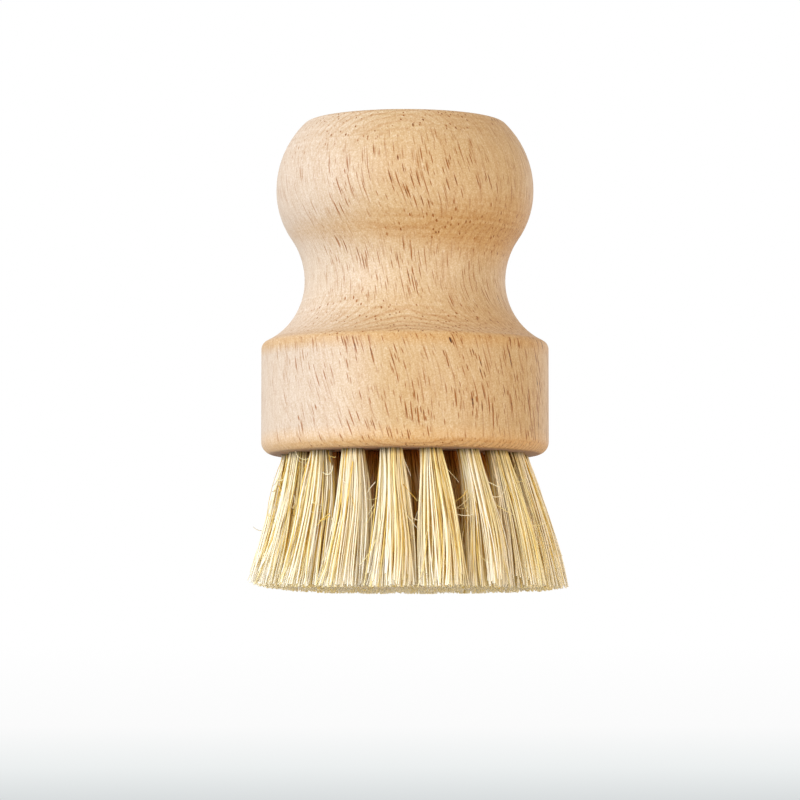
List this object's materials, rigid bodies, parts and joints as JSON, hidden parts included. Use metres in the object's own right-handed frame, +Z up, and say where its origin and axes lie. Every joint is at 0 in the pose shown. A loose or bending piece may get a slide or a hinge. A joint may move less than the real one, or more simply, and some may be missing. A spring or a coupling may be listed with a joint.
{
  "type": "palm brush",
  "caption": "Palm brush with a turned wooden knob handle and flared tufts of stiff plant fibre, for scrubbing dishes and pans by hand.",
  "frame": {"origin": "centre of the circle of trimmed fibre tips that the brush stands on", "axes": "+Z up along the axis of the turned handle, from the tips to the flat top; the side in the picture faces -Y"},
  "size_m": [0.0576, 0.0572, 0.085],
  "materials": {
    "wood": "sanded and lightly oiled",
    "fibre": "natural plant fibre",
    "wire": "drawn wire"
  },
  "bodies": {
    "root": {"handle": "wood", "staples_centre": "wire", "staples_inner": "wire", "staples_middle": "wire", "staples_outer": "wire", "tuft_centre": "fibre", "tuft_inner_01": "fibre", "tuft_inner_02": "fibre", "tuft_inner_03": "fibre", "tuft_inner_04": "fibre", "tuft_inner_05": "fibre", "tuft_inner_06": "fibre", "tuft_middle_01": "fibre", "tuft_middle_02": "fibre", "tuft_middle_03": "fibre", "tuft_middle_04": "fibre", "tuft_middle_05": "fibre", "tuft_middle_06": "fibre", "tuft_middle_07": "fibre", "tuft_middle_08": "fibre", "tuft_middle_09": "fibre", "tuft_middle_10": "fibre", "tuft_middle_11": "fibre", "tuft_middle_12": "fibre", "tuft_outer_01": "fibre", "tuft_outer_02": "fibre", "tuft_outer_03": "fibre", "tuft_outer_04": "fibre", "tuft_outer_05": "fibre", "tuft_outer_06": "fibre", "tuft_outer_07": "fibre", "tuft_outer_08": "fibre", "tuft_outer_09": "fibre", "tuft_outer_10": "fibre", "tuft_outer_11": "fibre", "tuft_outer_12": "fibre", "tuft_outer_13": "fibre", "tuft_outer_14": "fibre", "tuft_outer_15": "fibre", "tuft_outer_16": "fibre", "tuft_outer_17": "fibre", "tuft_outer_18": "fibre"}
  },
  "joints": []
}
